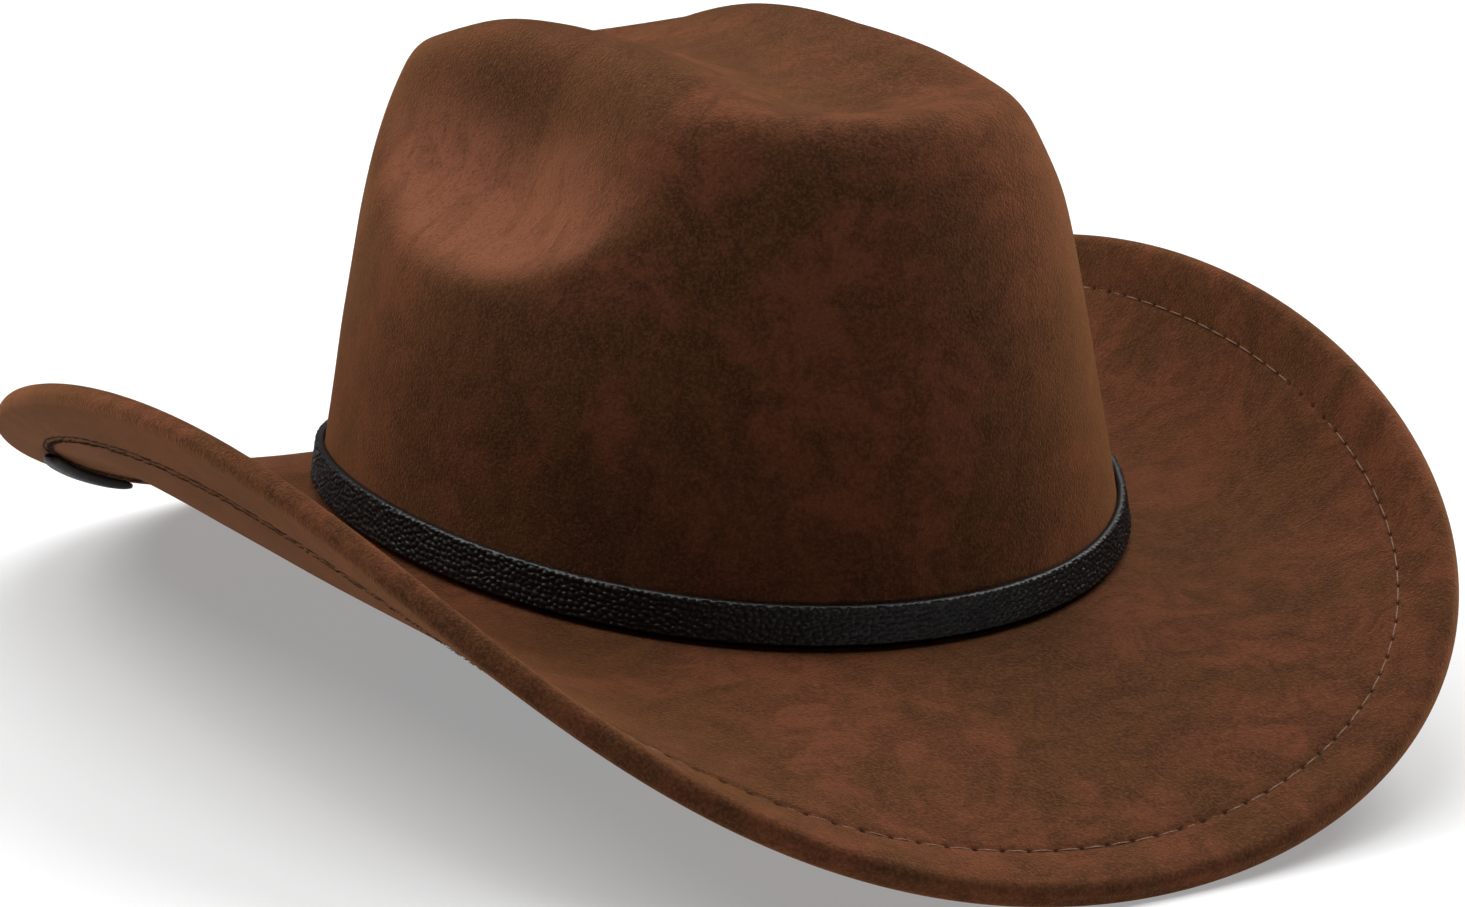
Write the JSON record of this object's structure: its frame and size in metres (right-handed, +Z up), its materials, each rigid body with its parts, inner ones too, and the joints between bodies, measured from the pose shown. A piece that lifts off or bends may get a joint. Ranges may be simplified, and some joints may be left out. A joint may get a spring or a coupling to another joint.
{
  "type": "cowboy hat",
  "caption": "Suede-look western hat with a creased crown, side-curled wired brim, plain lift-off strap band and inner sweatband.",
  "frame": {"origin": "middle of the hat's box on the plane the front and back dips of the brim stand on", "axes": "+Z up, -Y to the front of the hat, +X to the wearer's left"},
  "size_m": [0.2756, 0.3721, 0.1532],
  "materials": {
    "suede": "brushed suede-look cloth",
    "stiffener": "moulded felt, stiffened",
    "felt_core": "pressed felt",
    "tape": "woven tape",
    "wire_steel": "plain drawn wire",
    "ferrule_brass": "plain",
    "brown_thread": "sewing thread",
    "grey_thread": "sewing thread",
    "black_strip": "smooth imitation leather",
    "band_leather": "pebble-grained imitation leather",
    "sweat_fabric": "ribbed woven band"
  },
  "bodies": {
    "hat": {"crown_cover": "suede", "crown_stiffener": "stiffener", "crown_seam_tape": "tape", "brim_top_cover": "suede", "brim_core": "felt_core", "brim_under_cover": "suede", "brim_edge_hem": "suede", "brim_wire": "wire_steel", "wire_ferrule": "ferrule_brass", "stitch_thread_top": "brown_thread", "stitch_thread_under": "brown_thread", "underbrim_strip": "black_strip", "sweatband": "sweat_fabric", "sweatband_thread": "grey_thread", "sweatband_back_tape": "tape"},
    "hatband": {"hatband_strap": "band_leather", "hatband_joint_tab": "band_leather"}
  },
  "joints": [
    {"name": "hatband_lift", "type": "slide", "parent": "hat", "child": "hatband", "axis": [0, 0, 1], "range_m": [0, 0.135]}
  ]
}
